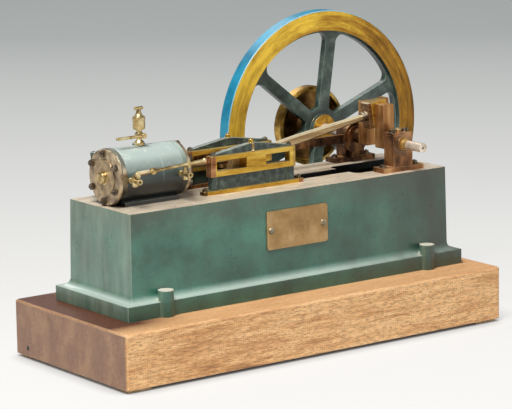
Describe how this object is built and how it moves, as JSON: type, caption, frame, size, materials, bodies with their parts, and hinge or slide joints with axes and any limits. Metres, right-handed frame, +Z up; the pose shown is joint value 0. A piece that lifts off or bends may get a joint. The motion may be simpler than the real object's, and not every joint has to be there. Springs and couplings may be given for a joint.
{
  "type": "model stationary steam engine",
  "caption": "Model horizontal mill engine on a box bed and wooden plinth, with cylinder, slide bars, connecting rod, crankshaft, spoked flywheel and rear pulley.",
  "frame": {"origin": "on the plane the plinth's pads stand on, under the middle of the bed, on the engine's centre line", "axes": "+X along the engine from cylinder to crank, +Y across it towards the flywheel, +Z up"},
  "size_m": [0.4732, 0.2129, 0.2897],
  "materials": {
    "oiled_wood": "satin varnish, worn",
    "pale_pad": "matt",
    "green_enamel": "old semi-gloss enamel",
    "grey_enamel": "old gloss enamel",
    "gunmetal": "tarnished, turned",
    "bronze": "tarnished, machined",
    "yellow_brass": "machined, lightly tarnished",
    "bright_steel": "turned and polished",
    "dark_steel": "dark, oily",
    "iron": "machined"
  },
  "bodies": {
    "engine_frame": {"plinth": "oiled_wood", "plinth_pads": "pale_pad", "bed": "green_enamel", "name_plate": "yellow_brass", "cylinder": "gunmetal", "cylinder_cleading": "grey_enamel", "outer_cover": "gunmetal", "outer_cover_nuts": "dark_steel", "inner_cover": "gunmetal", "piston_rod_gland": "yellow_brass", "valve_chest": "green_enamel", "valve_chest_cover": "gunmetal", "lubricator_body": "yellow_brass", "left_drain_cock": "yellow_brass", "right_drain_cock": "yellow_brass", "near_foot_bar": "yellow_brass", "far_foot_bar": "yellow_brass", "near_guide_base": "green_enamel", "far_guide_base": "green_enamel", "near_slide_bars": "yellow_brass", "far_slide_bars": "yellow_brass", "near_guide_truss": "green_enamel", "far_guide_truss": "green_enamel", "near_pedestal": "bronze", "far_pedestal": "bronze", "near_bearing_cap": "bronze", "far_bearing_cap": "bronze"},
    "crankshaft": {"crankshaft": "bright_steel", "near_crank_web": "bronze", "far_crank_web": "bronze", "flywheel_rim": "green_enamel", "flywheel_spokes": "green_enamel", "rear_pulley": "gunmetal", "eccentric_sheave": "gunmetal"},
    "connecting_rod": {"connecting_rod": "bright_steel", "big_end_brasses": "yellow_brass", "big_end_cap": "bright_steel"},
    "crosshead": {"crosshead": "bright_steel", "slippers": "yellow_brass", "piston_rod": "bright_steel"},
    "eccentric_rod": {"eccentric_strap": "bronze"},
    "valve_spindle": {"valve_spindle": "bright_steel"},
    "lubricator_tap": {"lubricator_tap": "yellow_brass"},
    "left_cock_lever": {"left_cock_lever": "yellow_brass"},
    "right_cock_lever": {"right_cock_lever": "yellow_brass"},
    "drain_rod": {"drain_rod": "yellow_brass"}
  },
  "joints": [
    {"name": "crank_spin", "type": "hinge", "parent": "engine_frame", "child": "crankshaft", "pos_m": [0.1365, 0, 0.1735], "axis": [0, 1, 0], "range_deg": [-20, 20]},
    {"name": "rod_swing", "type": "hinge", "parent": "crankshaft", "child": "connecting_rod", "pos_m": [0.1365, 0, 0.1989], "axis": [0, 1, 0], "range_deg": [-21, 21]},
    {"name": "crosshead_slide", "type": "slide", "parent": "engine_frame", "child": "crosshead", "axis": [1, 0, 0], "range_m": [-0.0095, 0.0095]},
    {"name": "eccentric_swing", "type": "hinge", "parent": "crankshaft", "child": "eccentric_rod", "pos_m": [0.1318, 0.028, 0.17179], "axis": [0, 1, 0], "range_deg": [-21, 21]},
    {"name": "valve_slide", "type": "slide", "parent": "engine_frame", "child": "valve_spindle", "axis": [1, 0, 0], "range_m": [-0.0008, 0.0008]},
    {"name": "lubricator_tap_turn", "type": "hinge", "parent": "engine_frame", "child": "lubricator_tap", "pos_m": [-0.137, 0, 0.2079], "axis": [0, 1, 0], "range_deg": [0, 90]},
    {"name": "drain_cocks_turn", "type": "hinge", "parent": "engine_frame", "child": "left_cock_lever", "pos_m": [-0.1636, -0.0315, 0.1735], "axis": [0, 0, 1], "range_deg": [0, 60]},
    {"name": "right_cock_turn", "type": "hinge", "parent": "engine_frame", "child": "right_cock_lever", "pos_m": [-0.109, -0.0315, 0.1735], "axis": [0, 0, 1], "range_deg": [-5, 95]},
    {"name": "drain_rod_link", "type": "hinge", "parent": "left_cock_lever", "child": "drain_rod", "pos_m": [-0.1636, -0.0375, 0.1775], "axis": [0, 0, 1], "range_deg": [-95, 5]}
  ],
  "couplings": [
    {"joint": "rod_swing", "follows": "crank_spin", "ratio": -1},
    {"joint": "crosshead_slide", "follows": "crank_spin", "m_per_rad": 0.0254},
    {"joint": "eccentric_swing", "follows": "crank_spin", "ratio": -1.0233},
    {"joint": "valve_slide", "follows": "crank_spin", "m_per_rad": -0.0017101},
    {"joint": "right_cock_turn", "follows": "drain_cocks_turn", "ratio": 1},
    {"joint": "drain_rod_link", "follows": "drain_cocks_turn", "ratio": -1}
  ]
}
